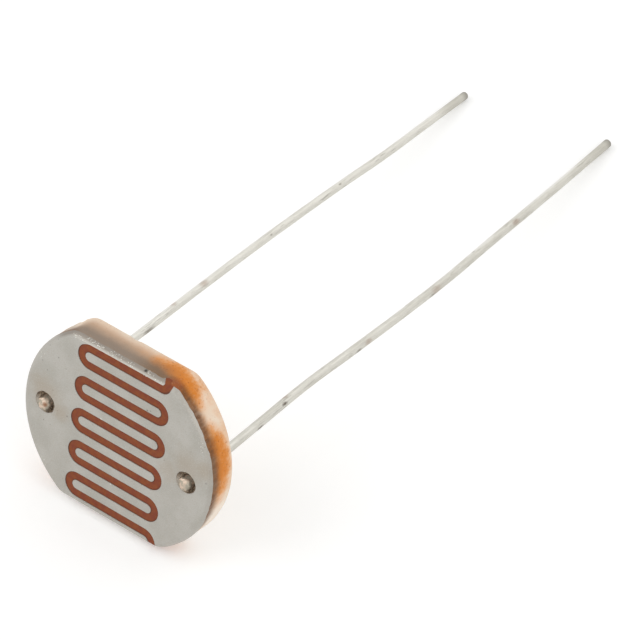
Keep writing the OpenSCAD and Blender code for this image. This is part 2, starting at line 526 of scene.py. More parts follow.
FLAKE_SEED = 7
FLAKE_SIDES = 7
FLAKE_RINGS = 5
FLAKE_RAG = 0.35
FLAKE_LUMP = 0.8
FLAKE_LUMP_SEEDS = 90
# Half sizes: least length and what chance adds to it, and ranges of width and thickness
FLAKE_LENGTH = 0.015
FLAKE_LONGER = 0.06
FLAKE_WIDTH = (0.01, 0.018)
FLAKE_THICKNESS = (0.006, 0.014)
# Scatter of the flakes across their row, and of their turn in radians
FLAKE_SCATTER = 0.065
FLAKE_SPIN = 1.0
# Rows of flakes: start and end on the plan, count, and run over the rounded edge
FLAKE_ROWS = (
    ((-3.3, FLAT_Y), (-2.4, FLAT_Y), 22, 0.2),
    ((-2.4, FLAT_Y), (-1.3, FLAT_Y), 30, 0.28),
    ((-1.1, FLAT_Y), (0.6, FLAT_Y), 20, 0.3),
    ((-0.7, FLAT_Y), (-0.4, FLAT_Y), 6, 0.22),
    ((1.3, FLAT_Y), (2.4, FLAT_Y), 16, 0.3),
    ((-4.45, -3.35), (-4.15, -3.8), 7, -0.08),
    ((-5.45, 2.4), (-5.0, 3.3), 6, 0.1),
    ((5.2, 2.9), (5.65, 2.0), 10, 0.14),
)


def flake(centre, axes, sizes, seed):
    """A small lumpy grain with its own axes and half sizes."""
    rings = []
    for j in range(FLAKE_RINGS):
        level = math.pi * (j + 0.5) / FLAKE_RINGS
        turn = 2 * math.pi * (np.arange(FLAKE_SIDES) + 0.5 * j) / FLAKE_SIDES
        around = math.sin(level)
        way = flat_points(around * np.column_stack([np.cos(turn), np.sin(turn)]), math.cos(level))
        rings.append(way * (1 + FLAKE_RAG * lumps(way, FLAKE_LUMP, seed))[:, None])
    points, faces = capped(rings)
    return centre + (points * sizes) @ axes, faces


def film_spot(plan, past):
    """The point on the film at a run over the rounded edge, and the ways along and up there."""
    distance, way = to_rim(plan)
    foot = plan + way * (past - EDGE_R - distance)[:, None]
    here = on_face(foot, FILM_T)[0]
    above = on_face(foot, 2 * FILM_T)[0]
    along = np.array([-way[0, 1], way[0, 0], 0.0])
    return here, along, (above - here) / np.linalg.norm(above - here)


def flake_shape():
    """Flakes scattered along the rows, each sunk a little into the film."""
    chance = np.random.default_rng(FLAKE_SEED)
    shapes = []
    for start, end, count, run in FLAKE_ROWS:
        for share in chance.uniform(0, 1, count):
            plan = np.array([np.array(start) + share * (np.array(end) - start)])
            here, along, up = film_spot(plan, run + chance.normal(0, FLAKE_SCATTER))
            spin = chance.normal(0, FLAKE_SPIN)
            turned = along * math.cos(spin) + np.cross(up, along) * math.sin(spin)
            axes = np.array([turned, np.cross(up, turned), up])
            axes /= np.linalg.norm(axes, axis=1)[:, None]
            length = FLAKE_LENGTH + FLAKE_LONGER * chance.uniform(0, 1) ** 2
            sizes = np.array([length, chance.uniform(*FLAKE_WIDTH), chance.uniform(*FLAKE_THICKNESS)])
            shapes.append(flake(here, axes, sizes, chance.uniform(0, FLAKE_LUMP_SEEDS)))
    return joined(shapes)


# Leads

# Head: angles of the dome's rings, lean of its top, powers that blunt it, roughness and lumps
DOME_ANGLES = np.radians(np.arange(6, 91, 12))
DOME_LEAN = 0.4
DOME_RISE_POWER = 0.8
DOME_WIDTH_POWER = 0.85
DOME_ROUGH = 0.2
SHANK_ROUGH = 0.16
HEAD_LUMP = 0.22
# Neck and wire: roughness and lumps, and the length between the two
NECK_ROUGH = 0.03
NECK_LUMP = 0.28
WIRE_ROUGH = 0.07
WIRE_LUMP = np.array([0.3, 0.3, 2.2])
WIRE_START = 0.1
# Rounded end of a wire: its start, and its rings' distances from the tip and shares of the radius
WIRE_END = 0.12
WIRE_END_RINGS = ((0.07, 0.97), (0.03, 0.88), (0.01, 0.73), (0.0, 0.5))


def through(values, share):
    """A smooth curve through evenly spaced values, at shares from 0 to 1 of its length."""
    values = np.asarray(values)
    slopes = np.gradient(values)
    place = np.clip(share, 0, 1) * (len(values) - 1)
    before = np.minimum(place.astype(int), len(values) - 2)
    part = place - before
    rise = part * part * (3 - 2 * part)
    bend = slopes[before] * part * (1 - part) ** 2 - slopes[before + 1] * part * part * (1 - part)
    return values[before] * (1 - rise) + values[before + 1] * rise + bend


def lead_line(mount):
    """The seat of a lead's head, the direction of its wire and its length, on the disc's axes."""
    along = np.array(mount["axis"]) @ BASIS
    middle = (np.array(mount["pos_m"]) - ORIGIN) @ BASIS / MM
    tip = middle + along * mount["dims"]["length_mm"] / 2
    side = math.copysign(1, tip[0])
    seat = np.array([side * HOLE_X, 0.0, -SEAT_DEPTH])
    return seat, along, float((tip - seat) @ along)


def axes_across(along):
    """Two directions square to a line and to each other, the first close to X."""
    first = ACROSS - along * along[0]
    first /= np.linalg.norm(first)
    return first, np.cross(along, first)


def ring_round(centre, along, radius, rough, seed, lump=NECK_LUMP):
    """A ring of points round a line, a little out of true."""
    first, second = axes_across(along)
    turn = 2 * math.pi * np.arange(RING_STEPS) / RING_STEPS
    way = np.outer(np.cos(turn), first) + np.outer(np.sin(turn), second)
    out = radius * (1 - rough * dents(centre + radius * way, lump, seed))
    return centre + way * out[:, None]


def head_rings(seat, seed):
    """The domed head that stands out of the hole, from its top to its seat."""
    axis = np.array([0.0, 0.0, -1.0])
    top = seat + [0, 0, SEAT_DEPTH]
    base = HEAD_RISE - HEAD_DOME_H
    rings = []
    for angle in DOME_ANGLES:
        rise = math.cos(angle)
        aside = HEAD_ASIDE * (1 + DOME_LEAN * rise)
        centre = top + [*aside, base + HEAD_DOME_H * rise ** DOME_RISE_POWER]
        radius = HEAD_R * math.sin(angle) ** DOME_WIDTH_POWER
        rings.append(ring_round(centre, axis, radius, DOME_ROUGH, seed, HEAD_LUMP))
    for height in np.linspace(base, -SEAT_DEPTH, SHANK_STEPS + 1)[1:]:
        aside = HEAD_ASIDE * smooth(height, -SEAT_DEPTH, base)
        rings.append(ring_round(top + [*aside, height], axis, HEAD_R, SHANK_ROUGH, seed, HEAD_LUMP))
    return rings


def lead_shape(mount, lead):
    """One lead: head, tapered neck, gently bowed wire and its rounded cut end."""
    seat, along, length = lead_line(mount)
    seed = lead["seed"]
    radius = lead["share"] * mount["dims"]["r_mm"]
    neck_end = (DISC_T - SEAT_DEPTH) / -along[2] + NECK_SHOW
    rings = head_rings(seat, seed)
    for reach in np.linspace(0.0, neck_end, NECK_RINGS):
        neck = NECK_R + reach / neck_end * (NECK_END_R - NECK_R)
        rings.append(ring_round(seat + along * reach, along, neck, NECK_ROUGH, seed))
    reaches = np.linspace(neck_end + WIRE_START, length - WIRE_END, WIRE_RINGS)
    sideways = through(lead["bow"], (reaches - neck_end) / (length - neck_end))
    stations = [(reach, shift, 1.0) for reach, shift in zip(reaches, sideways)]
    stations += [(length - back, sideways[-1], share) for back, share in WIRE_END_RINGS]
    for reach, shift, share in stations:
        centre = seat + along * reach + [shift, 0, 0]
        rings.append(ring_round(centre, along, radius * share, WIRE_ROUGH, seed, WIRE_LUMP))
    return capped(rings)


# Bonds

PASTE_LIP = HOLE_R - BOND_SKIN
# Rings of the paste: radius and height. On the neck and behind the disc they follow the lead's line
PASTE_RINGS = (
    (NECK_R - 0.02, -SEAT_DEPTH), (HEAD_R - 0.06, -0.3), (HEAD_R - 0.01, -0.22), (HEAD_R + 0.05, -0.2),
    (0.5, -0.16), (PASTE_LIP - 0.02, -BOND_RIM_DEPTH + 0.02), (PASTE_LIP, -0.03),
    (PASTE_LIP + 0.015, FILM_T - 0.01), (HOLE_R - 0.01, FILM_T), (HOLE_R, FILM_T - 0.03),
    (HOLE_R, -DISC_T / 2), (HOLE_R, -DISC_T + 0.03), (HOLE_R - 0.04, -DISC_T), (0.42, -DISC_T - 0.02),
    (0.32, -DISC_T - 0.07), (NECK_END_R - 0.01, -DISC_T - 0.1), (NECK_R - 0.03, -DISC_T / 2),
)
# Radii up to which rings wider than the head are lumpy, and of the rings filled up on the low side
LUMPY_TO = HOLE_R - 0.005
FILLED_FROM = HEAD_R - 0.05
FILLED_TO = PASTE_LIP + 0.005
PASTE_LUMP = 0.16
PASTE_ROUGH = np.array([0.01, 0.01, 0.025])
# Height of that fill, and the cosines to the low side between which it sets in
FILL_TOP = 0.05
FILL_TURN = (-0.15, 0.55)


def bond_shape(mount, seed):
    """Paste in the hole round a lead: a slope down to the head in front, a low fillet behind."""
    seat, along, _ = lead_line(mount)
    rings = []
    for radius, height in PASTE_RINGS:
        centre = np.array([seat[0], seat[1], height])
        if radius < NECK_R or height < -DISC_T:
            centre = seat + along * (height + SEAT_DEPTH) / along[2]
        ring = ring_round(centre, np.array([0.0, 0.0, 1.0]), radius, 0.0, seed)
        if HEAD_R < radius < LUMPY_TO:
            ring += lumps(ring, PASTE_LUMP, seed)[:, None] * PASTE_ROUGH
        if height > -SEAT_DEPTH and FILLED_FROM < radius < FILLED_TO:
            filled = smooth((ring[:, :2] - centre[:2]) @ LOW_SIDE / radius, *FILL_TURN)
            ring[:, 2] += filled * (FILL_TOP - ring[:, 2])
        rings.append(ring)
    return loft([*rings, rings[0]])


# Materials

# Levels of detail of a noise
BROAD = 2.0
MEDIUM = 3.0
FINE = 4.0
# Spans of a noise's values: nearly all of them, and the middle ones
NOISE_ALL = (0.3, 0.7)
NOISE_MIDDLE = (0.35, 0.65)
NOISE_MEAN = (0.5, 0.5, 0.5)
EVEN = (1, 1, 1)
# Shares of a spot's radius and of a speck's size that have its full strength
SPOT_CORE = 0.15
SPECK_CORE = 0.5


def srgb(red, green, blue):
    """A colour written from 0 to 255, in the shader's linear values."""
    shares = [value / 255 for value in (red, green, blue)]
    return tuple(s / 12.92 if s <= 0.04045 else ((s + 0.055) / 1.055) ** 2.4 for s in shares) + (1.0,)


class Nodes:
    """A node tree with short ways to add to it."""

    def __init__(self, tree):
        self.tree = tree

    def node(self, kind, values, **settings):
        made = self.tree.nodes.new("ShaderNode" + kind)
        for name, value in settings.items():
            setattr(made, name, value)
        self.fill(made, values)
        return made

    def fill(self, node, values):
        """Links inputs of a node to sockets, or sets them to plain values."""
        for key, value in values.items():
            if isinstance(value, bpy.types.NodeSocket):
                self.tree.links.new(value, node.inputs[key])
            else:
                node.inputs[key].default_value = value

    def math(self, operation, *values):
        return self.node("Math", dict(enumerate(values)), operation=operation).outputs[0]

    def chain(self, operation, first, *others):
        """One operation over several values, in their order."""
        for value in others:
            first = self.math(operation, first, value)
        return first

    def product(self, *values):
        return self.chain("MULTIPLY", *values)

    def vector(self, operation, values, output="Vector"):
        return self.node("VectorMath", values, operation=operation).outputs[output]

    def step(self, value, start, end, low=0.0, high=1.0):
        """Goes softly from low to high as value goes from start to end."""
        made = self.node("MapRange", {
            "Value": value, "From Min": start, "From Max": end, "To Min": low, "To Max": high,
        }, interpolation_type="SMOOTHSTEP")
        return made.outputs["Result"]

    def seen_directly(self):
        """1 for camera, glossy and transmission rays, and 0 for the rays that light surfaces."""
        path = self.node("LightPath", {})
        rays = ("Is Camera Ray", "Is Glossy Ray", "Is Transmission Ray")
        return self.chain("MAXIMUM", *[path.outputs[ray] for ray in rays])


class Look(Nodes):
    """A material of colours laid over each other, with millimetre coordinates on given axes."""

    def __init__(self, name, colour, basis=BASIS, origin=ORIGIN):
        self.material = bpy.data.materials.new(name)
        self.material.use_nodes = True
        super().__init__(self.material.node_tree)
        self.shader = self.tree.nodes["Principled BSDF"]
        self.colour = colour
        spot = self.node("TexCoord", {})
        place = self.node("Mapping", {
            "Vector": spot.outputs["Object"],
            "Location": -(origin @ basis) / MM,
            "Rotation": Matrix(basis.T).to_euler(),
            "Scale": [1 / MM] * 3,
        })
        self.place = place.outputs["Vector"]
        self.normal = spot.outputs["Normal"]
        self.x, self.y, self.z = self.node("SeparateXYZ", {"Vector": self.place}).outputs

    def mix(self, share, first, second):
        """The second colour over the first by a share."""
        return self.node("Mix", {0: share, 6: first, 7: second}, data_type="RGBA").outputs[2]

    def lay(self, colour, *shares):
        """Lays one more colour over the material, by the product of the shares."""
        self.colour = self.mix(self.product(*shares), self.colour, colour)

    def stretched(self, place, stretch):
        return self.node("Mapping", {"Vector": place, "Scale": stretch}).outputs["Vector"]

    def noise(self, size, detail=FINE, stretch=EVEN, output="Fac"):
        """Cloudy noise from 0 to 1, with lumps of about this size in millimetres."""
        place = self.stretched(self.place, stretch)
        made = self.node("TexNoise", {"Vector": place, "Scale": 1 / size, "Detail": detail})
        return made.outputs[output]

    def cloud(self, size, span=NOISE_MIDDLE):
        """Noise with its contrast raised."""
        return self.step(self.noise(size, MEDIUM), *span)

    def drawn(self, size, detail, lengthwise, *step):
        """Noise that is drawn out along the Z axis, after a step."""
        return self.step(self.noise(size, detail, (1, 1, lengthwise)), *step)

    def wander(self, size, amount):
        """Coordinates pushed about by noise, for ragged outlines."""
        push = self.vector("SUBTRACT", {0: self.noise(size, output="Color"), 1: NOISE_MEAN})
        push = self.vector("SCALE", {0: push, "Scale": amount})
        return self.vector("ADD", {0: self.place, 1: push})

    def within(self, borders):
        """1 inside soft borders, each with its axis and where it starts and ends."""
        return self.product(*[self.step(getattr(self, axis), *span) for axis, *span in borders])

    def specks(self, cell, size, share, stretch=EVEN):
        """Small specks, in some of the cells of a scatter."""
        place = self.stretched(self.place, stretch)
        cells = self.node("TexVoronoi", {"Vector": place, "Scale": 1 / cell})
        near = self.step(cells.outputs["Distance"], size / cell, SPECK_CORE * size / cell)
        chosen = self.node("SeparateColor", {"Color": cells.outputs["Color"]}).outputs[0]
        return self.product(near, self.math("LESS_THAN", chosen, share))

    def spots(self, place, centres, stretch=EVEN):
        """Soft spots, each with a place, a radius and a strength; the strongest one counts."""
        place = self.stretched(place, stretch)
        made = []
        for *centre, radius, strength in centres:
            middle = [part * scale for part, scale in zip(centre, stretch)]
            away = self.vector("DISTANCE", {0: place, 1: middle}, "Value")
            made.append(self.step(away, SPOT_CORE * radius, radius, strength, 0.0))
        return self.chain("MAXIMUM", *made)

    def facing(self, way):
        """How squarely the surface faces a fixed direction of the row frame, from -1 to 1."""
        return self.vector("DOT_PRODUCT", {0: self.normal, 1: way}, "Value")

    def bump(self, height, depth, strength):
        """Fine relief of this depth in millimetres."""
        values = {"Height": height, "Distance": depth * MM, "Strength": strength}
        self.fill(self.shader, {"Normal": self.node("Bump", values).outputs["Normal"]})

    def finish(self, roughness, metallic=0.0, specular=0.5):
        self.fill(self.shader, {
            "Base Color": self.colour,
            "Roughness": roughness,
            "Metallic": metallic,
            "Specular IOR Level": specular,
        })
        return self.material


# Look of the ceramic

# Orange stains: place on the disc's axes, radius and strength
STAINS = (
    (0.6, 5.05, -1.1, 1.4, 0.3),
    (1.6, 5.05, -1.2, 1.4, 0.85),
    (2.3, 5.05, -1.3, 1.4, 1.25),
    (2.9, 5.05, -0.9, 1.4, 1.1),
    (3.5, 4.8, -0.8, 1.4, 1.0),
    (4.0, 4.4, -0.65, 1.15, 0.62),
    (4.7, 3.7, -0.4, 0.8, 0.4),
    (3.3, 4.95, -1.8, 0.8, 0.7),
    (3.75, 4.7, -1.75, 0.9, 0.85),
    (4.3, 4.2, -1.9, 1.0, 0.65),
    (4.8, 3.6, -1.9, 0.9, 0.6),
    (5.3, 2.8, -1.9, 1.0, 0.65),
    (5.2, 3.0, -0.6, 1.15, 0.6),
    (5.55, 2.25, -0.9, 1.45, 1.05),
    (5.75, 1.75, -1.25, 0.9, 1.15),
    (5.85, 1.1, -1.0, 1.5, 1.1),
    (6.0, 0.1, -1.0, 1.35, 0.75),
    (5.95, -0.7, -1.0, 1.2, 0.42),
    (2.8, -5.05, -0.55, 1.4, 1.0),
    (3.5, -4.8, -0.9, 1.2, 0.6),
    (-1.2, -5.05, -1.0, 1.8, 0.55),
    (-4.6, -3.8, -0.9, 1.8, 0.85),
    (-5.8, -1.5, -0.8, 1.6, 0.6),
    (-5.3, 2.8, -1.1, 1.5, 0.6),
    (3.9, 3.4, -DISC_T, 1.7, 0.3),
    (-2.5, -3.6, -DISC_T, 2.0, 0.25),
)
# Steps of the stains: mottling, fading towards the back, and strength for each colour
STAIN_MOTTLE = (*NOISE_ALL, 0.82, 1.1)
STAIN_FADE = (-2.0, -0.8, 0.4, 1.0)
LIGHT_STAIN = (0.0, 0.75)
DEEP_STAIN = (0.3, 1.05)
RUST_STAIN = (0.1, 0.7, 0.1, 0.42)
# Grey film dust next to the film's border
DUSTS = (
    (2.2, 5.05, -0.3, 0.7, 0.85),
    (5.75, 1.75, -0.3, 0.5, 0.5),
    (5.9, 1.1, -0.3, 0.55, 0.55),
    (5.98, 0.4, -0.3, 0.55, 0.55),
    (-4.2, 4.4, -0.6, 1.1, 0.5),
    (-5.9, 0.9, -0.3, 0.9, 0.6),
    (-4.9, -3.4, -0.3, 0.9, 0.5),
)
# The dust also lies along the upper flat down to here, and turns from grey to brown
DUST_Z = (-1.6, -0.45)
DUST_TURN_X = (0.0, 1.8)
# Painted light: palest ceramic, low on the right, where it faces the floor
PAINTED_LIGHT_SPOTS = ((5.6, -2.2, -1.5, 2.0, 0.9), (4.4, -4.2, -1.5, 1.9, 0.8))
# Red-brown ceramic where the track runs off the face
SCORCHES = ((2.95, 5.0, -0.3, 0.7, 0.75),)
# Soft borders of the tan on the upper flat
TAN_TOP = (("y", 4.3, 5.0), ("x", 3.2, 1.6), ("x", -3.9, -2.9), ("z", -1.95, -1.1))
# Dust and painted shade just behind the film's border, darker next to it: front and back ends, streaks,
# and fading at the bottom
DUST_AND_SHADE_FRONT = -0.33
DUST_AND_SHADE_BACK = (2.5, 3.4, -1.07, -0.9)
DUST_AND_SHADE_STREAKS = (0.16, FINE, 0.3, *NOISE_ALL, 0.8, 0.95)
DUST_AND_SHADE_FADE = (-3.0, -1.0, 0.75, 1.0)
PEACH_SHARE = 0.5
GRAIN_TONE = (0.55, 0.8, 0.0, 0.3)
CERAMIC_ROUGH = (*NOISE_ALL, 0.55, 0.75)
CREAM = srgb(244, 227, 207)
PEACH = srgb(238, 209, 180)
# Colour of the painted light low on the right
CERAMIC_PAINTED_LIGHT = srgb(254, 240, 225)
TAN = srgb(208, 174, 145)
LIGHT_ORANGE = srgb(233, 166, 104)
DEEP_ORANGE = srgb(217, 130, 44)
RUST = srgb(160, 82, 36)
DUST_GREY = srgb(145, 129, 114)
DUST_BROWN = srgb(128, 103, 80)
# Brown of the dust and painted shade behind the film's border
DUST_AND_SHADE = srgb(100, 63, 34)


def lay_stains(look, ragged):
    """Lays the orange stains and their rusty specks."""
    mottle = look.step(look.noise(size=0.15, detail=MEDIUM), *STAIN_MOTTLE)
    stain = look.product(look.spots(ragged, STAINS), mottle, look.step(look.z, *STAIN_FADE))
    look.lay(LIGHT_ORANGE, look.step(stain, *LIGHT_STAIN))
    look.lay(DEEP_ORANGE, look.step(stain, *DEEP_STAIN))
    speck = look.specks(cell=0.15, size=0.06, share=0.35)
    look.lay(RUST, speck, look.step(stain, *RUST_STAIN))


def ceramic_material():
    look = Look("ceramic", CREAM)
    ragged = look.wander(size=0.6, amount=0.16)
    more_ragged = look.wander(size=0.4, amount=0.25)
    ragged_z = look.node("SeparateXYZ", {"Vector": more_ragged}).outputs["Z"]
    look.lay(PEACH, look.cloud(size=1.1), PEACH_SHARE)
    # Painted light: paler ceramic low on the right
    look.lay(CERAMIC_PAINTED_LIGHT, look.spots(ragged, PAINTED_LIGHT_SPOTS))
    on_top = look.within(TAN_TOP)
    look.lay(TAN, on_top)
    lay_stains(look, ragged)
    # Painted shade with some dust: brown behind the film's border, fading towards the back
    dust_and_shade = look.step(ragged_z, look.step(look.y, *DUST_AND_SHADE_BACK), DUST_AND_SHADE_FRONT)
    look.lay(DUST_AND_SHADE, dust_and_shade, look.drawn(*DUST_AND_SHADE_STREAKS), look.step(look.y, *DUST_AND_SHADE_FADE))
    look.lay(RUST, look.spots(ragged, SCORCHES))
    top_dust = look.product(on_top, look.step(ragged_z, *DUST_Z))
    dust_colour = look.mix(look.step(look.x, *DUST_TURN_X), DUST_GREY, DUST_BROWN)
    look.lay(dust_colour, look.math("MAXIMUM", top_dust, look.spots(ragged, DUSTS)))
    grain = look.noise(size=0.07)
    look.lay(TAN, look.step(grain, *GRAIN_TONE))
    look.bump(grain, depth=0.02, strength=0.5)
    return look.finish(look.step(grain, *CERAMIC_ROUGH), specular=0.3)


# Look of the layer

# Step of the distance from the track's centre line to the painted shade along its edges, under the
# films
TRACK_SHADE_TONE = (0.3 * GAP_W, 0.5 * GAP_W, 0.0, 0.85)
TRACK_GRAIN_TONE = (0.55, 0.8, 0.0, 0.4)
LAYER_ROUGH = (*NOISE_ALL, 0.6, 0.8)
TRACK_BRICK = srgb(140, 77, 43)
TRACK_RED = srgb(129, 65, 45)
# Dark brown of the track's grain and of the painted shade along its edges
TRACK_GRAIN_AND_SHADE = srgb(100, 63, 48)


def track_offset(look):
    """Distance from the track's centre line, from the serpentine's own formula."""
    line = look.math("DIVIDE", look.math("SUBTRACT", FIRST_LINE - LOOP_R, look.y), TRACK_PITCH)
    from_left = look.product(look.math("PINGPONG", line, 1.0), TRACK_PITCH)
    from_right = look.math("SUBTRACT", TRACK_PITCH, from_left)
    shift = look.step(look.y, *SHIFT_Y, *LEFT_SHIFTS)
    left = look.math("ADD", TRACK_LEFT + LOOP_R, shift)
    right = TRACK_RIGHT - LOOP_R + RIGHT_SHIFT
    offsets = []
    for rise, *ends in ((from_left, left, look.x), (from_right, look.x, right)):
        past = look.math("MAXIMUM", look.math("SUBTRACT", *ends), 0.0)
        far = look.math("SQRT", look.math("ADD", look.product(rise, rise), look.product(past, past)))
        offsets.append(look.math("ABSOLUTE", look.math("SUBTRACT", far, LOOP_R)))
    on_right = look.math("GREATER_THAN", look.x, TRACK_SHIFT_X)
    chosen = look.node("Mix", {0: on_right, 2: offsets[0], 3: offsets[1]}, data_type="FLOAT")
    return chosen.outputs[0]


def layer_material():
    look = Look("photo_layer", TRACK_BRICK)
    look.lay(TRACK_RED, look.cloud(size=0.3, span=NOISE_ALL))
    grain = look.noise(size=0.05)
    look.lay(TRACK_GRAIN_AND_SHADE, look.step(grain, *TRACK_GRAIN_TONE))
    # Painted shade along the track's edges, where the films stand over it, except along the upper edge
    # of the first line
    edge = look.step(track_offset(look), *TRACK_SHADE_TONE)
    below_end = look.step(look.y, FIRST_LINE + GAP_W / 2, FIRST_LINE)
    look.lay(TRACK_GRAIN_AND_SHADE, edge, below_end)
    look.bump(grain, depth=0.015, strength=0.6)
    return look.finish(look.step(grain, *LAYER_ROUGH), specular=0.2)


# Look of the films and their flakes

FILM_GREY = srgb(173, 170, 162)
FILM_PALE = srgb(183, 180, 173)
FILM_BRIGHT = srgb(193, 190, 183)
FILM_WARM = srgb(167, 155, 139)
# Colour of the painted shade on the film round the edge
FILM_PAINTED_SHADE = srgb(140, 131, 121)
# Pale colour of the painted reflection along the film's lower edge
FILM_PAINTED_REFLECTION = srgb(226, 221, 214)
FLAKE_WHITE = srgb(232, 231, 223)
FLAKE_GREY = srgb(186, 184, 175)
PIT_BROWN = srgb(92, 84, 72)
MARK_BLACK = srgb(52, 47, 40)
# Warmer film round the lead holes
HOLE_WARMTH = (
    (-HOLE_X, 0.6, 0.0, 1.5, 0.7),
    (-3.6, 0.0, 0.0, 0.9, 0.7),
    (HOLE_X, 1.0, 0.0, 1.5, 0.6),
    (3.4, 0.1, 0.0, 1.0, 0.5),
    (5.4, 1.3, 0.0, 0.9, 0.7),
)
# Small dark and bright marks on the films
DARK_MARKS = (
    (1.3, 5.03, -0.13, 0.14, 1.0),
    (1.78, 2.96, 0.07, 0.08, 0.6),
    (1.98, 3.02, 0.07, 0.06, 0.5),
    (-3.08, -0.1, 0.07, 0.07, 0.5),
    (-3.93, 3.11, 0.07, 0.07, 0.5),
    (5.72, 0.6, 0.0, 0.1, 0.6),
)
BRIGHT_MARKS = (
    (-0.97, 0.87, 0.07, 0.09, 1.0),
    (-0.09, -2.57, 0.07, 0.09, 0.9),
    (0.0, -2.66, 0.07, 0.06, 0.8),
)
# Steps of the fine grain to the brighter and to the warmer film
BRIGHT_GRAIN = (0.5, 0.72, 0.0, 0.6)
WARM_GRAIN = (0.5, 0.28, 0.0, 0.55)
# Soft borders of the painted shade on the film round the edge, strongest along the upper flat
SHADED_BEND = (("z", 0.06, -0.1), ("y", -2.5, -0.5))
SHADED_BEND_TOP = (("y", 3.9, 4.7), ("x", 3.0, 2.2))
SHADED_BEND_SHARE = (0.25, 0.9)
# Soft borders of the painted reflection of the floor, pale along its lower edge
PAINTED_REFLECTION_EDGE = (("y", -4.7, -5.0), ("z", 0.07, -0.05))
PAINTED_REFLECTION_SHARE = 0.8
# Pits get stronger towards the left
PIT_TONE = (-3.8, -5.4, 0.35, 0.8)
FILM_ROUGH = (*NOISE_ALL, 0.36, 0.5)


def film_material():
    look = Look("electrode_film", FILM_GREY)
    look.lay(FILM_PALE, look.cloud(size=1.8))
    look.lay(FILM_WARM, look.spots(look.wander(size=0.8, amount=0.9), HOLE_WARMTH))
    fine = look.noise(size=0.06)
    look.lay(FILM_BRIGHT, look.step(fine, *BRIGHT_GRAIN))
    look.lay(FILM_WARM, look.step(fine, *WARM_GRAIN))
    # Painted shade where the film bends round the edge, strongest along the upper flat
    shaded_bend_share = look.step(look.within(SHADED_BEND_TOP), 0.0, 1.0, *SHADED_BEND_SHARE)
    look.lay(FILM_PAINTED_SHADE, look.within(SHADED_BEND), shaded_bend_share)
    # Painted reflection of the floor along the film's lower rounded edge
    look.lay(FILM_PAINTED_REFLECTION, look.within(PAINTED_REFLECTION_EDGE), PAINTED_REFLECTION_SHARE)
    pits = look.specks(cell=0.38, size=0.045, share=0.25)
    look.lay(PIT_BROWN, pits, look.step(look.x, *PIT_TONE))
    near = look.wander(size=0.08, amount=0.09)
    look.lay(MARK_BLACK, look.spots(near, DARK_MARKS))
    look.lay(FLAKE_WHITE, look.spots(near, BRIGHT_MARKS))
    look.bump(fine, depth=0.012, strength=0.5)
    return look.finish(look.step(fine, *FILM_ROUGH), metallic=0.45)


def flake_material():
    look = Look("film_flakes", FLAKE_WHITE)
    look.lay(FLAKE_GREY, look.cloud(size=0.1))
    return look.finish(roughness=0.3, metallic=0.8)


# Look of the leads

TIN = srgb(223, 221, 213)
TIN_DULL = srgb(190, 187, 177)
TIN_DARK = srgb(140, 136, 128)
# Colour of the painted highlight on the wires
TIN_PAINTED_HIGHLIGHT = srgb(241, 240, 236)
TIN_CREAM = srgb(212, 192, 174)
HEAD_GREY = srgb(166, 159, 144)
FLUX = srgb(140, 98, 70)
FLECK = srgb(96, 86, 74)
# Noises drawn out along a wire: size, detail, scale along it, and the step of their values
STREAKS = (0.06, FINE, 0.03, *NOISE_MIDDLE)
BLOTCHES = (0.45, MEDIUM, 0.4, 0.4, 0.62)
SCRATCHES = (0.05, FINE, 0.06, 0.57, 0.68)
SCRATCHED_PARTS = (0.9, BROAD, 0.4, *NOISE_MIDDLE, 0.1, 0.7)
# Patches along the wire where its painted highlight shows
PAINTED_HIGHLIGHT_PARTS = (0.5, BROAD, 0.25, 0.38, 0.58, 0.2, 0.9)
# Painted highlight on the side of the wires that faces a fixed direction, and how squarely the skin has
# to face it
PAINTED_HIGHLIGHT_SIDE = (-0.75, 0.0, 0.66)
PAINTED_HIGHLIGHT_FACING = (0.5, 0.92)
# Shares of a lead's length between which the strength of its painted highlight changes
PAINTED_HIGHLIGHT_FROM = 0.3
PAINTED_HIGHLIGHT_TO = 0.6
# Scales along the wire of its specks, flux and flecks
SPECK_STRETCH = (1, 1, 0.45)
FLUX_STRETCH = (1, 1, 0.6)
FLECK_STRETCH = (1, 1, 0.4)
SPECK_SHARE = 0.5
# Lengths from the tip over which the wire gets dull, and then dark at its cut
DULL_FROM = 3.0
DULL_TO = 1.4
CUT_FROM = 0.6
TIP_SHARE = 0.8
# Steps along a lead to its head's colours and roughness
HEAD_START = (0.2, -0.1)
HEAD_ROUGHER = (0.1, -0.1, 0.0, 0.12)
HEAD_SPAN = (0.4, 0.6)
TIN_ROUGH = (0.0, 1.0, 0.4, 0.52)


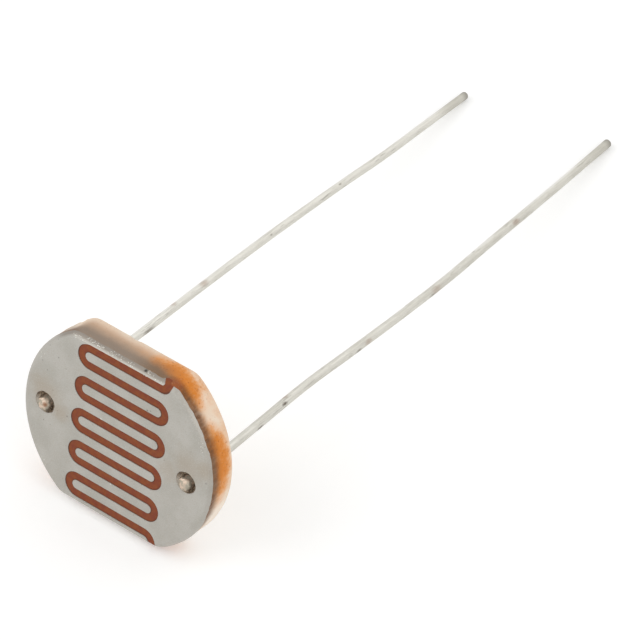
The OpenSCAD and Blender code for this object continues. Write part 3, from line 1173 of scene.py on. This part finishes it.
def lay_wire(look, lead, length, streak):
    """Lays a wire's skin, from its tarnish and a painted highlight on one side to its dull tip."""
    tarnish = lead["tarnish"]
    dulled = look.math("ADD", streak, look.drawn(*BLOTCHES))
    look.lay(TIN_DULL, look.step(dulled, 0.0, 2.0, tarnish / 2, tarnish))
    look.lay(TIN_DARK, look.drawn(*SCRATCHES), look.drawn(*SCRATCHED_PARTS))
    # Painted highlight: paler tin on the side that faces a fixed direction, in patches
    painted_highlight = look.step(look.z, PAINTED_HIGHLIGHT_FROM * length, PAINTED_HIGHLIGHT_TO * length, *lead["painted_highlight"])
    highlight_facing = look.step(look.facing(PAINTED_HIGHLIGHT_SIDE), *PAINTED_HIGHLIGHT_FACING)
    look.lay(TIN_PAINTED_HIGHLIGHT, highlight_facing, look.drawn(*PAINTED_HIGHLIGHT_PARTS), painted_highlight)
    speck = look.specks(cell=0.5, size=0.06, share=0.12, stretch=SPECK_STRETCH)
    look.lay(FLECK, speck, SPECK_SHARE)
    ragged = look.wander(size=0.15, amount=0.15)
    look.lay(FLUX, look.spots(ragged, lead["flux"], FLUX_STRETCH))
    look.lay(FLECK, look.spots(ragged, lead["flecks"], FLECK_STRETCH))
    look.lay(TIN_DULL, look.step(look.z, length - DULL_FROM, length - DULL_TO, 0.0, TIP_SHARE))
    look.lay(TIN_DARK, look.step(look.z, length - CUT_FROM, length, 0.0, TIP_SHARE))


def head_colour(look, lead):
    """The skin of a lead's head: cream and grey, with a brown patch and a grey patch of painted shade
    on one side.
    """
    near = look.wander(size=0.12, amount=0.1)
    colour = look.mix(look.cloud(size=0.2, span=HEAD_SPAN), TIN_CREAM, HEAD_GREY)
    # Painted shade: a grey patch on one side of the head
    colour = look.mix(look.spots(near, lead["grey"]), colour, HEAD_GREY)
    return look.mix(look.spots(near, lead["brown"]), colour, FLUX)


def tin_material(name, mount, lead):
    """Drawn tinned wire on the lead's own axes."""
    seat, along, length = lead_line(mount)
    axes = BASIS @ np.column_stack([*axes_across(along), along])
    look = Look(name, TIN, axes, to_row(seat))
    streak = look.drawn(*STREAKS)
    lay_wire(look, lead, length, streak)
    look.lay(head_colour(look, lead), look.step(look.z, *HEAD_START))
    look.bump(streak, depth=0.01, strength=0.5)
    rougher = look.step(look.z, *HEAD_ROUGHER)
    return look.finish(look.math("ADD", look.step(streak, *TIN_ROUGH), rougher), metallic=1.0)


# Look of the paste

PASTE = srgb(146, 127, 104)
PASTE_DARK = srgb(78, 63, 48)
# Colour of the painted light on the paste
PASTE_PAINTED_LIGHT = srgb(186, 178, 165)
PASTE_SPAN = (0.42, 0.62)
# Painted light: paler paste on the low side of each head
PAINTED_LIGHT_PASTE_SPOTS = ((-HOLE_X - 0.45, -0.38, 0.05, 0.75, 1.0), (HOLE_X - 0.45, -0.38, 0.05, 0.75, 1.0))


def paste_material():
    look = Look("bond_paste", PASTE_DARK)
    grain = look.noise(size=0.08)
    look.lay(PASTE, look.step(grain, *PASTE_SPAN))
    # Painted light: paler paste on the low side of each head
    look.lay(PASTE_PAINTED_LIGHT, look.spots(look.wander(size=0.2, amount=0.15), PAINTED_LIGHT_PASTE_SPOTS))
    look.bump(grain, depth=0.03, strength=0.7)
    return look.finish(roughness=0.8)


# Floor, light and camera

PLAIN_WHITE = (1.0, 1.0, 1.0, 1.0)
FLOOR_HALF = 1.5
FLOOR_WHITE = srgb(240, 240, 239)
FLOOR_ROUGH = 0.9
FLOOR_LIFT = 0.24
WORLD_LIGHT = 0.62
# Lamps: name, direction towards the lamp, distance and side in metres, power in watts
LAMPS = (
    ("key", (-0.62, -0.55, 0.75), 0.45, 0.35, 0.55),
    ("fill", (0.85, -0.3, 0.5), 0.5, 0.4, 0.55),
    ("top", (0.1, 0.45, 1.0), 0.5, 0.45, 0.35),
)
# The photograph's view: directions in degrees, the rest in millimetres
CAMERA_AZIMUTH = 39.67
CAMERA_ELEVATION = 45.89
CAMERA_ROLL = -2.22
CAMERA_AIM = (-0.316, -1.013, 0.0)
CAMERA_DISTANCE = 238.6
CAMERA_LENS = 256.5
CAMERA_SENSOR = 36.0
# Nearest and furthest distance that the camera sees, in metres
CAMERA_NEAR = 0.01
CAMERA_FAR = 10.0


def add_floor():
    """A white floor that keeps the shadow, lifted to plain white where it is seen."""
    mesh = bpy.data.meshes.new("floor")
    corners = [(-1, -1), (1, -1), (1, 1), (-1, 1)]
    mesh.from_pydata([(FLOOR_HALF * x, FLOOR_HALF * y, 0.0) for x, y in corners], [], [(0, 1, 2, 3)])
    look = Look("floor", FLOOR_WHITE)
    lift = look.product(look.seen_directly(), FLOOR_LIFT)
    look.fill(look.shader, {"Emission Color": PLAIN_WHITE, "Emission Strength": lift})
    mesh.materials.append(look.finish(FLOOR_ROUGH, specular=0.0))
    floor = add_object("floor", mesh)


def add_world():
    """Soft light from all round, seen as plain white."""
    world = bpy.data.worlds.new("studio")
    world.use_nodes = True
    nodes = Nodes(world.node_tree)
    strength = nodes.step(nodes.seen_directly(), 0.0, 1.0, WORLD_LIGHT, 1.0)
    nodes.fill(world.node_tree.nodes["Background"], {"Color": PLAIN_WHITE, "Strength": strength})
    bpy.context.scene.world = world


def add_lamps(aim):
    for name, way, far, side, power in LAMPS:
        data = bpy.data.lights.new(name, "AREA")
        data.size = side
        data.energy = power
        lamp = add_object(name, data)
        way = Vector(way).normalized()
        lamp.location = aim + way * far
        lamp.rotation_mode = "QUATERNION"
        lamp.rotation_quaternion = way.to_track_quat("Z", "Y")


def add_camera():
    azimuth = math.radians(CAMERA_AZIMUTH)
    elevation = math.radians(CAMERA_ELEVATION)
    level = math.cos(elevation)
    back = Vector((math.sin(azimuth) * level, -math.cos(azimuth) * level, math.sin(elevation)))
    data = bpy.data.cameras.new("camera")
    data.lens = CAMERA_LENS
    data.sensor_width = CAMERA_SENSOR
    data.clip_start = CAMERA_NEAR
    data.clip_end = CAMERA_FAR
    camera = add_object("camera", data)
    camera.location = (Vector(CAMERA_AIM) + back * CAMERA_DISTANCE) * MM
    camera.rotation_mode = "QUATERNION"
    roll = Quaternion((0.0, 0.0, 1.0), math.radians(CAMERA_ROLL))
    camera.rotation_quaternion = back.to_track_quat("Z", "Y") @ roll
    bpy.context.scene.camera = camera


def add_pieces():
    """All pieces, with their looks, and the nodes that they stand for."""
    layer, west, east = film_shapes()
    film = film_material()
    paste = paste_material()
    make_piece("disc", ceramic_shape(), ceramic_material(), "ceramic_disc")
    make_piece("layer", layer, layer_material(), "photoconductive_layer")
    make_piece("left_film", west, film, "left_electrode")
    make_piece("right_film", east, film, "right_electrode")
    make_piece("film_flakes", flake_shape(), flake_material())
    for side, lead in LEADS.items():
        mount = MOUNTS[side + "_lead_end"]
        tin = tin_material("tin_" + side, mount, lead)
        make_piece(side + "_wire", lead_shape(mount, lead), tin, side + "_lead")
        bond = bond_shape(mount, lead["seed"] + 1)
        make_piece(side + "_paste", bond, paste, side + "_lead_bond")


add_pieces()
add_floor()
add_world()
add_lamps(Vector(to_row([0.0, 0.0, 0.0])))
add_camera()
bpy.context.scene.view_settings.view_transform = "Standard"
